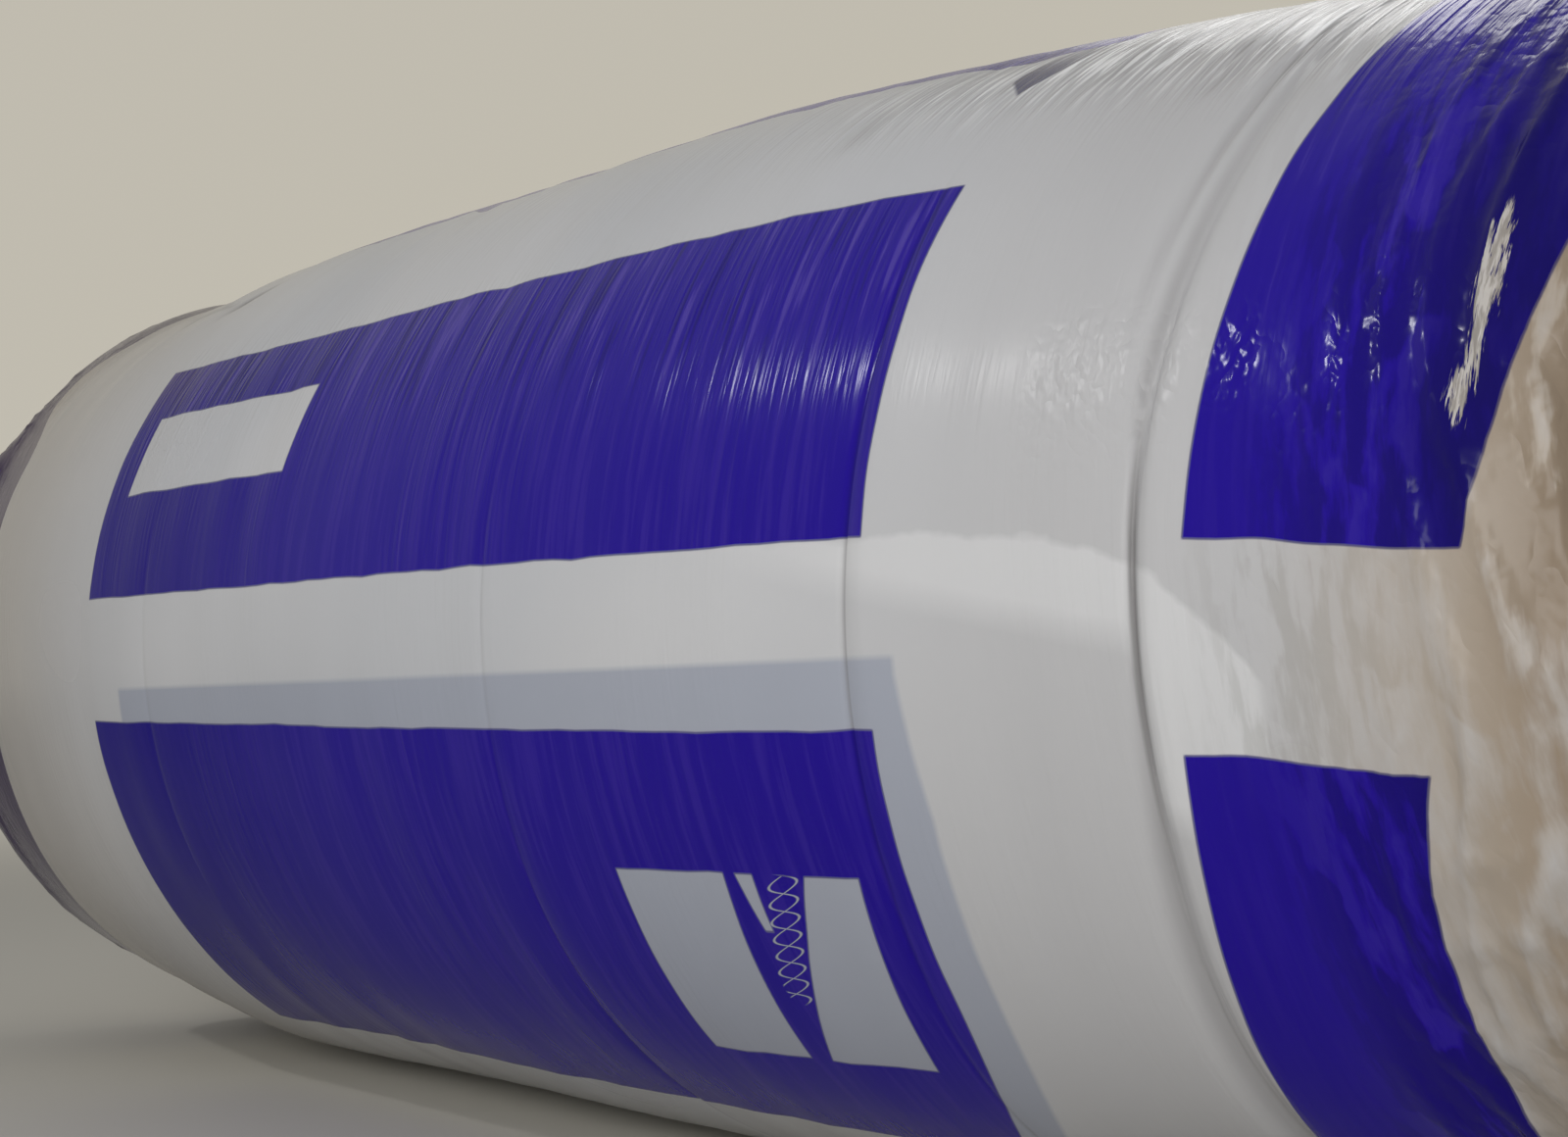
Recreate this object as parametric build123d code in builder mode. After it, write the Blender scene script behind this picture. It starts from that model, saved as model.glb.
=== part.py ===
from build123d import *
from math import ceil
import os

# A roll of glass wool blanket in a printed polythene sleeve, lying on its side.
# Frame: X runs along the roll, Z is up, and the origin lies on the floor under its middle.
# All sizes are in millimetres.

# Blanket as rolled
blanket_width = 1200.0       # length of the roll, without the sleeve
middle_diameter = 512.0      # over the wool along its straight middle
straight_length = 560.0      # of the middle, before the roll slims towards its ends
end_diameter = 461.0         # over the wool where the shoulders begin
shoulder_radius = 44.0       # rounding of the wool at each end
shoulder_steps = 4           # straight tapers that make up the rounding
eye_diameter = 40.0          # hole that the withdrawn winding mandrel leaves
turn_pitch = 20.0            # thickness of one squeezed turn
turn_gap_width = 2.4         # slot between two turns on the end faces
turn_gap_depth = 5.0         # how far the slot runs in from the end face

# Sleeve
sleeve_thickness = 1.0       # two or three loose layers of film
sleeve_clearance = 0.3       # between the film and the wool
sleeve_mouth_diameter = 220.0  # opening that the turned-in film leaves on each end
pleat_count = 26             # folds that gather the turned-in film
pleat_thickness = 0.9        # how far a flattened fold stands off the film
pleat_mouth_width = 17.0     # width of a fold at the mouth
pleat_lean = 4.0             # degrees by which the tip of a fold leads its root
pleat_inset = 6.0            # from the mouth's edge to the root of a fold
pleat_tip_inset = 5.0        # from the start of the shoulder's rounding to a fold's tip

half_width = blanket_width / 2
sleeve_skin = sleeve_clearance + sleeve_thickness
axis_height = middle_diameter / 2 + sleeve_skin
taper_end = half_width - shoulder_radius
end_plane_radius = end_diameter / 2 - shoulder_radius

roll_axis = Axis((0, 0, axis_height), (1, 0, 0))
half_section = Plane(origin=(0, 0, axis_height), x_dir=(1, 0, 0), z_dir=(0, -1, 0))


def across(x):
    """Plane across the roll at x, always seen from the +X end, so that both ends wind alike."""
    return Plane(origin=(x, 0, axis_height), x_dir=(0, 1, 0), z_dir=(1, 0, 0))


def barrel(skin):
    """Turned body that lies skin outside the wool: straight middle, slimmer ends, rounded shoulders."""
    rounding = Vector(0, shoulder_radius + skin)
    shoulder_centre = Vector(taper_end, end_plane_radius)
    turns = [-90 * k / shoulder_steps for k in range(shoulder_steps + 1)]
    shoulder = [shoulder_centre + rounding.rotate(Axis.Z, turn) for turn in turns]
    middle = middle_diameter / 2 + skin
    with BuildPart() as body:
        with BuildSketch(half_section):
            with BuildLine():
                side = Polyline((0, middle), (straight_length / 2, middle), *shoulder)
                Polyline(side @ 1, (half_width + skin, 0), (0, 0), side @ 0)
            make_face()
            mirror(about=Plane.YZ)
        revolve(axis=roll_axis)
    return body.part


def spiral_slot(width, first_radius, last_radius):
    """Ribbon face along the seam between the turns, from half circles on two centres."""
    step = turn_pitch / 2
    arcs = []
    for k in range(ceil((last_radius - first_radius) / step)):
        centre = (0, -step / 2 if k % 2 else step / 2)
        arcs.append((centre, first_radius + step * (k + 0.5), 90 if k % 2 else -90))
    with BuildSketch(mode=Mode.PRIVATE) as ribbon:
        with BuildLine():
            inner = [CenterArc(c, r - width / 2, start, 180) for c, r, start in arcs]
            outer = [CenterArc(c, r + width / 2, start, 180) for c, r, start in arcs]
            Line(inner[0] @ 0, outer[0] @ 0)
            Line(inner[-1] @ 1, outer[-1] @ 1)
        make_face()
    return ribbon.sketch


# Wool: one turned body with the eye through it and its turns showing on both ends.
# The slot runs on a little way under the edge of the sleeve.
with BuildPart() as wool_roll:
    add(barrel(0))
    with BuildSketch(across(-half_width)):
        Circle(eye_diameter / 2)
    extrude(amount=blanket_width, mode=Mode.SUBTRACT)
    slot_end = min(sleeve_mouth_diameter / 2 + turn_pitch / 2, end_plane_radius - turn_pitch)
    slot = spiral_slot(turn_gap_width, eye_diameter / 2 + turn_pitch / 2, slot_end)
    for side in (1, -1):
        with BuildSketch(across(side * half_width)):
            add(slot)
        extrude(amount=-side * turn_gap_depth, mode=Mode.SUBTRACT)

# Sleeve: a thin skin over the wool, turned in over both ends and gathered in flat pleats
with BuildPart() as film_sleeve:
    add(barrel(sleeve_skin))
    add(barrel(sleeve_clearance), mode=Mode.SUBTRACT)
    sleeve_end = half_width + sleeve_skin
    with BuildSketch(across(-sleeve_end)):
        Circle(sleeve_mouth_diameter / 2)
    extrude(amount=2 * sleeve_end, mode=Mode.SUBTRACT)
    root_r = sleeve_mouth_diameter / 2 + pleat_inset
    pleat = [
        (root_r, -pleat_mouth_width / 2),
        (root_r, pleat_mouth_width / 2),
        Vector(end_plane_radius - pleat_tip_inset, 0).rotate(Axis.Z, pleat_lean),
    ]
    for side in (1, -1):
        with BuildSketch(across(side * sleeve_end)):
            with PolarLocations(0, pleat_count):
                Polygon(*pleat, align=None)
        extrude(amount=side * pleat_thickness)

os.makedirs("parts", exist_ok=True)
wool_roll.part.label = "wool_roll"
film_sleeve.part.label = "film_sleeve"
export_step(wool_roll.part, "parts/wool_roll.step")
export_step(film_sleeve.part, "parts/film_sleeve.step")
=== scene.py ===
import math

import bmesh
import bpy
import numpy as np
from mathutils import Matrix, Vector


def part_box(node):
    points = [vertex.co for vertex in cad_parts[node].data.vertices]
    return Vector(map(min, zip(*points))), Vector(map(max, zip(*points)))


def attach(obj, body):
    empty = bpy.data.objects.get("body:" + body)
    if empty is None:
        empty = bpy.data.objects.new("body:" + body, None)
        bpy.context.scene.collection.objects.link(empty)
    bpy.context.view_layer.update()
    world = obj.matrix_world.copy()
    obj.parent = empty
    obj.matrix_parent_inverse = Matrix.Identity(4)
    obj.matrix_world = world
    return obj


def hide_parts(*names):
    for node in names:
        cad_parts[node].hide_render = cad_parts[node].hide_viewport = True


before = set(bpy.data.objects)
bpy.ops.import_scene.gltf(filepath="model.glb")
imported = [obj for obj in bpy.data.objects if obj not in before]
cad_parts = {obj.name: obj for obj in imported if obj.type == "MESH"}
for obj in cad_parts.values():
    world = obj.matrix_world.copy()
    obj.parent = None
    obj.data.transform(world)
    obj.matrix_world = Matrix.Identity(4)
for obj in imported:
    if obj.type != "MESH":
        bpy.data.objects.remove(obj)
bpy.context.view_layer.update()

# Glass wool roll in a printed polythene sleeve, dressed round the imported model.
# X runs along the roll, Z is up, sizes are in metres unless a name says otherwise.
# The angle of a place on the roll is taken round its axis, in degrees: 0 faces -Y, 90 is the top.
# The path of a place is its distance along the film from the film's middle, towards the near end.

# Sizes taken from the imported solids
sleeve_low, sleeve_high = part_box("film_sleeve")
wool_low, wool_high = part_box("wool_roll")
AXIS_Z = (sleeve_low.z + sleeve_high.z) / 2
SLEEVE_RADIUS = sleeve_high.y
WOOL_HALF = wool_high.x

# Barrel of the sleeve, slimmer at both ends, with rounded shoulders and a turned-in mouth
NEAR_STRAIGHT = 0.10        # where the near side starts to slim
FAR_STRAIGHT = 0.365        # the same on the far side, from the middle
NEAR_DROP = 0.0265          # how much slimmer the sleeve is where its near shoulder starts
FAR_DROP = 0.0255
NEAR_POWER, FAR_POWER = 1.4, 1.25       # above 1, the slimming starts gently
SHOULDER_START = 0.556
SHOULDER = 0.0453           # radius of the rounded shoulder
SHOULDER_END = SHOULDER_START + SHOULDER * math.pi / 2      # as a path
MOUTH_RADIUS = 0.110
LIP = 0.007                 # the mouth's edge curls in by this

# Where the roll is out of round at its top: heights, and the places between which they set in
# or fade
TOP_ANGLE, TOP_SPREAD = 80.0, 30.0
NEAR_BULGE, NEAR_BULGE_STARTS = 0.0040, (-0.02, 0.26)
FAR_SAG, SAG_STARTS, SAG_FADES = 0.0085, (0.06, -0.36), (-0.485, -0.545)
FAR_BULGE, FAR_BULGE_STARTS = 0.0070, (-0.495, -0.56)
DENT = 0.0060               # deepest place of the sag
DENT_PLACE, DENT_WIDTH = -0.395, 0.06
DENT_ANGLE, DENT_SPREAD = 62.0, 18.0
FAR_LUMP, FAR_LUMP_STARTS = 0.0090, (-0.54, -0.60)      # on the side of the far shoulder
FAR_LUMP_ANGLE, FAR_LUMP_SPREAD = 27.0, 10.0

# Sheet that the sleeve is wound from
FILM_STEP = 0.0008          # how much one layer stands off the layer under it
LAP_START = 168.0           # degrees at which the hidden start of the film lies
LAP_WIDTH = 11.0            # degrees by which its end laps over the start
FILM_ROWS = 240
FILM_COLUMNS = 410

# Heights of the film's waves and folds
SOFT_WAVE = 0.0009          # slow waves everywhere
STRAINED_WAVE = 0.00030     # close lines round the film
FOLD, SMALL_FOLD = 0.0030, 0.0016       # loose film on the shoulders
FOLD_WARP = 0.006           # how far the folds wander along the roll
SHALLOW_PLEAT = 0.0012
DEEP_PLEAT_START = 0.0010   # on the shoulder
DEEP_PLEAT = 0.0042         # this much more towards the mouth
SHALLOW_PLEATS, DEEP_PLEATS = 31, 17    # half as many as there are pleats round the roll
PLEAT_BEND = 0.085          # how far pleats wander round the roll, in radians
MOUTH_WAVE = 0.007          # how uneven the mouth's edge is
EDGE_LIFT = 0.0008          # how far the film's free edge stands off
EDGE_WANDER = 0.006         # how uneven that edge is, in radians

# Blanket
TURN_PITCH = 0.020
TURN_GAP = 0.0016
EYE_RADIUS = 0.020
CUT_CROWN = 0.0045          # how far the cut ends of the blanket bulge
WOOL_INSET = 0.0045         # the wool lies this far inside the film, so that folds have room

# Creases round the film: place, depth, half width, how dark their painted shade is,
# and the degrees above which they fade
CREASES = [
    (0.3085, 0.0014, 0.0015, 0.55, 32),
    (0.086, 0.0009, 0.0014, 0.35, 6),
    (-0.238, 0.0008, 0.0018, 0.08, 40),
]

# The deep crease before the near band. At each angle it has a share of a sharp groove,
# of a valley round it, whose half width is in millimetres, and of a second valley beside it.
PINCH = 0.4410
PINCH_ANGLES = [-190, -120, -60, -38, -22, -12, -6, 4, 9, 14, 20, 30, 44, 62, 95, 140, 180]
GROOVE_SHARE = [
    0.4, 0.6, 0.35, 0.40, 0.60, 0.85, 1.0, 1.0, 0.75, 0.35, 0.12, 0.05, 0.05, 0.10, 0.35, 0.5, 0.4,
]
VALLEY_SHARE = [
    0.6, 0.5, 1.2, 1.3, 1.2, 0.75, 0.45, 0.40, 0.6, 0.95, 1.05, 1.0, 0.75, 0.5, 0.5, 0.6, 0.6,
]
VALLEY_HALF = [5, 5, 7.5, 7.5, 6.5, 5, 3.5, 3.2, 3.4, 4.0, 4.6, 4.8, 4.6, 4, 4, 5, 5]
SECOND_SHARE = [0, 0, 0, 0, 0, 0, 0, 0, 0, 0, 0.1, 0.7, 1.0, 0.8, 0.2, 0, 0]
GROOVE_DEPTH, GROOVE_HALF = 0.0024, 0.0017
VALLEY_DEPTH, VALLEY_OFF = 0.0030, 0.0015
SWELL, SWELL_OFF, SWELL_HALF = 0.0011, 0.010, 0.006         # the film stands up past the valley
SECOND_DEPTH, SECOND_OFF, SECOND_HALF = 0.0016, -0.0115, 0.0032

# Folds at the top, pulled tight round the roll: place, degrees from and to, half width
# and how dark their painted shade is
PULLS = [
    (0.2690, 50, 66, 0.0034, 0.42),
    (0.2255, 46, 62, 0.0056, 0.26),
    (0.2480, 56, 70, 0.0020, 0.24),
    (0.3420, 47, 58, 0.0020, 0.22),
    (0.1900, 50, 64, 0.0030, 0.22),
    (0.3760, 46, 60, 0.0018, 0.20),
    (0.4060, 44, 56, 0.0020, 0.18),
]
PULL_DEPTH = 0.0011
PULL_LEAN = 0.0005          # metres a degree

# Short puckers at the far top: place, degrees, lean in metres a degree, half width
# and how dark their painted shade is
PUCKERS = [
    (-0.3115, 51.2, 0.0035, 0.0060, 0.90),
    (-0.4025, 53.2, -0.0015, 0.0070, 0.85),
    (-0.3750, 53.2, -0.0170, 0.0110, 0.50),
]
PUCKER_DEPTH = 0.0014
PUCKER_SPREAD = 2.8         # degrees

# Where the rows of the film's mesh lie closer together: place, half width and how many more
DENSER = [(PINCH, 0.0045, 8.0), (PINCH, 0.016, 2.5), (-0.36, 0.075, 1.6)]
DENSER += [(place, 2.2 * half, 8.0) for place, _, half, _, _ in CREASES]

# Backdrop and floor
BACKDROP = (0.53, 0.50, 0.43)
FLOOR = (0.55, 0.525, 0.46)
WORLD_LIGHT = (0.285, 0.29, 0.305)

# Camera of the photograph, fitted to the edges of the print and to the outline
CAMERA_PLACE = (0.9751, -0.8325, 0.2249)
CAMERA_LOOKS = (-0.7649, 0.6421, 0.0511)
CAMERA_LENS = 56.25


def clamp01(values):
    return np.clip(values, 0, 1)


def ease(values, start, end):
    """0 before start, 1 after end, smooth between, either way round."""
    t = clamp01((values - start) / (end - start))
    return t * t * (3 - 2 * t)


def within(values, low, high, soft):
    """1 between low and high, with borders that are soft wide."""
    return clamp01((values - low) / soft + 0.5) * clamp01((high - values) / soft + 0.5)


def hump(values, place, half):
    """Bell curve that is 1 at the place and falls to about a third at a half width from it."""
    return np.exp(-(((values - place) / half) ** 2))


def waves(along, around, count, along_range, around_range, seed, lean=0):
    """Smooth random heights of about -1 to 1 that close up round the roll.
    along_range is in waves a metre and around_range in waves a turn.
    lean 1 makes all of them slant one way."""
    draw = np.random.default_rng(seed)
    total = np.zeros_like(along)
    for _ in range(count):
        pitch = draw.uniform(*along_range)
        turns = int(draw.integers(around_range[0], around_range[1] + 1))
        way = 1 if draw.random() < 0.5 + lean / 2 else -1
        phase = draw.uniform(0, math.tau)
        total += np.cos(math.tau * pitch * along + way * turns * around + phase)
    return total / math.sqrt(count / 2)


def waves_round(angle, count, around_range, seed):
    """The same for heights that change round the roll only."""
    return waves(angle * 0, angle, count, (0, 0), around_range, seed)


def link(name, data):
    item = bpy.data.objects.new(name, data)
    bpy.context.scene.collection.objects.link(item)
    return item


# Film sleeve
def slimming(x):
    """Radius of the sleeve before its shoulders."""
    near = clamp01((x - NEAR_STRAIGHT) / (SHOULDER_START - NEAR_STRAIGHT))
    far = clamp01((-x - FAR_STRAIGHT) / (SHOULDER_START - FAR_STRAIGHT))
    return SLEEVE_RADIUS - NEAR_DROP * near**NEAR_POWER - FAR_DROP * far**FAR_POWER


def lopsided(x, angle):
    """How far the roll is out of round: its near part bulges at the top and its far part sags."""
    degrees = np.degrees(angle)
    top = NEAR_BULGE * ease(x, *NEAR_BULGE_STARTS) + FAR_BULGE * ease(x, *FAR_BULGE_STARTS)
    top -= FAR_SAG * ease(x, *SAG_STARTS) * (1 - ease(x, *SAG_FADES))
    dent = DENT * hump(x, DENT_PLACE, DENT_WIDTH) * hump(degrees, DENT_ANGLE, DENT_SPREAD)
    lump = ease(x, *FAR_LUMP_STARTS) * hump(degrees, FAR_LUMP_ANGLE, FAR_LUMP_SPREAD)
    return hump(degrees, TOP_ANGLE, TOP_SPREAD) * top - dent + FAR_LUMP * lump


def ring_width(side):
    """Width of the film's flat ring on an end, between the shoulder and the curled lip."""
    return slimming(side * SHOULDER_START) - SHOULDER - MOUTH_RADIUS - LIP


def film_line(path, mouth_shift):
    """Place (along the roll, away from its axis) and outward direction at a path."""
    side = np.sign(path)
    along = np.abs(path)
    barrel = np.minimum(along, SHOULDER_START)
    turn = np.clip((along - SHOULDER_START) / SHOULDER, 0, math.pi / 2)
    ring = np.maximum(along - SHOULDER_END, 0)
    width = ring_width(side)
    curl = np.clip((ring - width) / LIP, 0, math.pi / 2)
    inward = np.minimum(ring / width, 1) * (width + mouth_shift) + LIP * np.sin(curl)
    x = barrel + SHOULDER * np.sin(turn) - LIP * (1 - np.cos(curl))
    radius = slimming(side * barrel) - SHOULDER * (1 - np.cos(turn)) - inward
    facing = turn + curl
    return side * x, radius, side * np.sin(facing), np.cos(facing)


def film_reach():
    """Path of the film's edge in the mouth."""
    return SHOULDER_END + float(ring_width(np.array(1.0))) + LIP * math.pi / 2


def film_stations():
    """Paths of the mesh's rows, closer together at creases and ends."""
    reach = film_reach()
    fine = np.linspace(-reach, reach, 8001)
    density = 0.8 + 2.7 * ease(fine, 0.45, 0.52) + 1.2 * ease(-fine, 0.50, 0.55)
    for place, half, more in DENSER:
        density += more * hump(fine, place, half)
    grown = np.concatenate([[0], np.cumsum((density[1:] + density[:-1]) / 2)])
    return np.interp(np.linspace(0, grown[-1], FILM_ROWS), grown, fine)


def round_creases(path, angle):
    """Height and painted shade of the fine creases round the film."""
    degrees = np.degrees(angle)
    height = np.zeros_like(path)
    core = np.zeros_like(path)
    for index, (place, deep, half, dark, fade) in enumerate(CREASES):
        wander = 0.0012 * waves_round(angle, 5, (1, 4), 60 + index)
        strength = clamp01(0.75 + 0.4 * waves_round(angle, 5, (1, 6), 70 + index))
        faded = ease(degrees, fade, fade + 10) * (1 - ease(degrees, 95, 120))
        strength = strength * (1 - 0.9 * faded)
        off = (path - place - wander) / half
        height -= deep * strength * np.exp(-np.abs(off) ** 1.2)
        height += 0.30 * deep * strength * hump(off, 3.2, math.sqrt(5))
        core = np.maximum(core, dark * strength * np.exp(-np.abs(off) ** 1.5 * 2.2))
    return height, core


def pinched_crease(path, angle):
    """Height and painted shade of the deep crease before the near band."""
    degrees = np.degrees(angle)
    groove, valley, half, second = (
        np.interp(degrees, PINCH_ANGLES, row)
        for row in (GROOVE_SHARE, VALLEY_SHARE, VALLEY_HALF, SECOND_SHARE)
    )
    half = half / 1000
    wander = 0.0010 * waves_round(angle, 5, (2, 6), 66) + 0.006 * clamp01((degrees - 14) / 40)
    off = path - PINCH - wander
    height = SWELL * (groove + 0.5) * hump(off, SWELL_OFF, SWELL_HALF)
    height -= GROOVE_DEPTH * groove * np.exp(-np.abs(off / GROOVE_HALF) ** 1.3)
    height -= VALLEY_DEPTH * valley * hump(off, VALLEY_OFF, half)
    height -= SECOND_DEPTH * second * hump(off, SECOND_OFF, SECOND_HALF)
    core = groove * hump(off, -0.0004, 0.0013)
    core = np.maximum(core, 0.34 * valley * hump(off, -0.001, half * 0.6))
    return height, np.maximum(core, 0.30 * second * hump(off, SECOND_OFF, 0.0024))


def short_folds(path, angle):
    """Height and painted shade of the pulls at the near top and of the puckers at the far top."""
    degrees = np.degrees(angle)
    height = np.zeros_like(path)
    core = np.zeros_like(path)
    for place, low, high, half, dark in PULLS:
        share = hump(path - (degrees - low) * PULL_LEAN, place, half)
        share *= ease(degrees, low, low + 6) * (1 - ease(degrees, high, high + 12))
        height -= PULL_DEPTH * share
        core = np.maximum(core, dark * share)
    for place, middle, lean, half, dark in PUCKERS:
        share = hump(path - (degrees - middle) * lean, place, half)
        share *= hump(degrees, middle, PUCKER_SPREAD)
        height -= PUCKER_DEPTH * share
        core = np.maximum(core, dark * share)
    return height, core


def gathers(path, angle, seed):
    """Heights of the folds that gather the film from the shoulder to the mouth,
    and how far they lean over."""
    along = np.abs(path)
    bent = angle + PLEAT_BEND * waves(along, angle, 7, (0, 1.5), (1, 9), seed)
    shallow = np.abs(np.sin(SHALLOW_PLEATS * bent + 9 * along))
    drift = 0.75 * waves(along, angle, 5, (0, 2), (1, 3), seed + 1)
    deep = np.abs(np.sin(DEEP_PLEATS * bent + drift))
    uneven = 0.75 + 0.35 * waves(along, angle, 6, (0, 2), (2, 11), seed + 2)
    rise = ease(along, SHOULDER_START - 0.001, SHOULDER_END)
    full = ease(along, SHOULDER_END - 0.02, film_reach() - 0.012)
    height = SHALLOW_PLEAT * rise * (1 - 0.4 * full) * (1 - shallow**0.7)
    height += (DEEP_PLEAT_START * rise + DEEP_PLEAT * full) * (1 - deep**0.8)
    return height * uneven, 0.9 * full


def loose_folds(path, angle):
    """Shares of large and of small folds where the film lies loose on the shoulders."""
    degrees = np.degrees(angle)
    warp = FOLD_WARP * waves(path, angle, 8, (1, 6), (2, 9), 14)
    large = np.abs(waves(path + warp, angle, 12, (14, 34), (2, 9), 15, lean=0.8))
    small = np.abs(waves(path + warp * 1.6, angle, 14, (26, 70), (4, 26), 16, lean=0.5))
    near = ease(path, 0.47, 0.57) * (1 - ease(path, 0.61, 0.68))
    far = ease(-path, 0.53, 0.58) * (1 - ease(-path, 0.60, 0.67))
    calm_top = ease(degrees, 36, 52) * (1 - ease(degrees, 110, 140))
    loose = near * (1 - 0.40 * calm_top) + 0.45 * far
    patchy = 0.4 + 0.6 * clamp01(waves(path, angle, 6, (2, 9), (2, 8), 17))
    return clamp01(1 - large**0.8) * loose, clamp01(1 - small**0.9) * loose * patchy


def film_relief(path, angle):
    """How far the film stands off its smooth barrel and how far folds lean round it, in metres,
    then how much of it is lifted off the wool and how dark the painted shade in its creases is,
    from 0 to 1."""
    soft = SOFT_WAVE * waves(path, angle, 16, (0, 4), (1, 7), 11)
    strained = STRAINED_WAVE * waves(path, angle, 26, (10, 28), (0, 5), 12)
    strained *= 0.55 + 0.45 * clamp01(waves(path, angle, 8, (0, 5), (1, 5), 13))
    folds, small_folds = loose_folds(path, angle)
    near_end = path > 0
    near_height, near_lean = gathers(path, angle, 80)
    far_height, far_lean = gathers(path, angle, 90)
    gathered = np.where(near_end, near_height, far_height)
    height = soft * (1 - 0.5 * ease(np.abs(path), 0.58, 0.64)) + strained + gathered
    height += FOLD * folds + SMALL_FOLD * small_folds
    core = np.zeros_like(path)
    for crease in (round_creases, pinched_crease, short_folds):
        deep, dark = crease(path, angle)
        height += deep
        core = np.maximum(core, dark)
    lifted = clamp01(folds * 0.75 + small_folds * 0.45 + gathered / 0.0030)
    return height, np.where(near_end, near_lean, far_lean) * gathered, lifted, core


def relief_masks(path, angle):
    """How strong the strained lines, crinkles and crushed spots of the fine relief are."""
    degrees = np.degrees(angle)
    loose = ease(waves(path, angle, 16, (1, 7), (1, 9), 42), -0.8, 1.0)
    at_ends = ease(np.abs(path), 0.46, 0.54)
    near_top = ease(degrees, 40, 58) * ease(path, 0.05, 0.34)
    on_panel = within(path, PANEL_LEFT, PANEL_RIGHT, 0.004)
    on_panel *= ease(degrees, 10, 28) * ease(degrees, 40.5, 38.5)
    glints = ease(np.abs(path - 0.425), 0.045, 0.020) * within(degrees, 12, 24, 6)
    crumple_line = 0.500 + clamp01((degrees - 9) / 13) * 0.026
    crumple = clamp01(1 - np.abs(path - crumple_line) / 0.020) * within(degrees, 3, 36, 8)
    cluster = clamp01(1 - np.abs(path - 0.475) / 0.012) * within(degrees, 14, 22, 4)
    pulled = 0.06 + loose * 0.20 + near_top * 1.7 + on_panel * 0.40
    return {
        "pulled": pulled * (1 - at_ends * 0.4),
        "crinkled": at_ends * (0.90 + loose) + crumple,
        "crushed": at_ends * loose * 0.70 + crumple * 1.6 + cluster * 2.2 + glints * 1.6,
    }


def grid_mesh(name, places):
    """Mesh of quads over an array of places, rows by columns by 3, facing away from the roll."""
    rows, columns = places.shape[:2]
    index = np.arange(rows * columns).reshape(rows, columns)
    corners = [index[:-1, :-1], index[1:, :-1], index[1:, 1:], index[:-1, 1:]]
    quads = np.stack(corners, axis=-1).reshape(-1, 4)
    mesh = bpy.data.meshes.new(name)
    mesh.vertices.add(rows * columns)
    mesh.vertices.foreach_set("co", places.astype(np.float32).ravel())
    mesh.loops.add(quads.size)
    mesh.loops.foreach_set("vertex_index", quads.astype(np.int32).ravel())
    mesh.polygons.add(len(quads))
    mesh.polygons.foreach_set("loop_start", np.arange(0, quads.size, 4, dtype=np.int32))
    mesh.update(calc_edges=True)
    mesh.validate()
    mesh.shade_smooth()
    return mesh


def make_film():
    wound = np.radians(np.linspace(LAP_START - 360, LAP_START + LAP_WIDTH, FILM_COLUMNS))
    path, angle = np.meshgrid(film_stations(), wound, indexing="ij")
    mouth_shift = MOUTH_WAVE * waves_round(angle, 7, (2, 13), 21) * np.where(path > 0, 1, -0.8)
    x, radius, out_x, out_radius = film_line(path, mouth_shift)
    height, lean, lifted, core = film_relief(path, angle)
    height += lopsided(path, angle)
    height += FILM_STEP * ((angle - wound[0]) / math.tau - 0.5)
    free_edge = ease(angle, wound[-1] - 0.05, wound[-1])
    height += free_edge * EDGE_LIFT * (1 + waves(path, angle * 0, 9, (2, 14), (0, 0), 22))
    x = x + out_x * height
    radius = radius + out_radius * height
    turned = angle + lean / np.maximum(radius, MOUTH_RADIUS)
    turned += free_edge * EDGE_WANDER * waves(path, angle * 0, 6, (1, 7), (0, 0), 23)
    z = np.maximum(AXIS_Z + radius * np.sin(turned), 0.0)
    mesh = grid_mesh("film", np.stack([x, -radius * np.cos(turned), z], axis=-1))
    carried = {
        "path": path,
        "angle": np.degrees(angle),
        "lifted": lifted,
        "crease": core,
        "cloud": 0.5 + 0.13 * waves(path, angle, 16, (0, 5), (1, 8), 41),
        "wobble": 0.11 * waves(path, angle, 30, (4, 34), (4, 44), 43),
    }
    carried.update(relief_masks(path, angle))
    for name, values in carried.items():
        attribute = mesh.attributes.new("film_" + name, "FLOAT", "POINT")
        attribute.data.foreach_set("value", values.astype(np.float32).ravel())
    return link("film", mesh)


# Node trees
class Wire:
    """Output of a node, on which sums and products add Math nodes."""

    def __init__(self, graph, socket):
        self.graph = graph
        self.socket = socket

    def __add__(self, other):
        return self.graph.math("ADD", self, other)

    def __sub__(self, other):
        return self.graph.math("SUBTRACT", self, other)

    def __rsub__(self, other):
        return self.graph.math("SUBTRACT", other, self)

    def __mul__(self, other):
        return self.graph.math("MULTIPLY", self, other)

    def __truediv__(self, other):
        return self.graph.math("DIVIDE", self, other)

    def __pow__(self, other):
        return self.graph.math("POWER", self, other)

    def __neg__(self):
        return self.graph.math("MULTIPLY", self, -1)

    def __abs__(self):
        return self.graph.math("ABSOLUTE", self)

    __radd__ = __add__
    __rmul__ = __mul__


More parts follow.
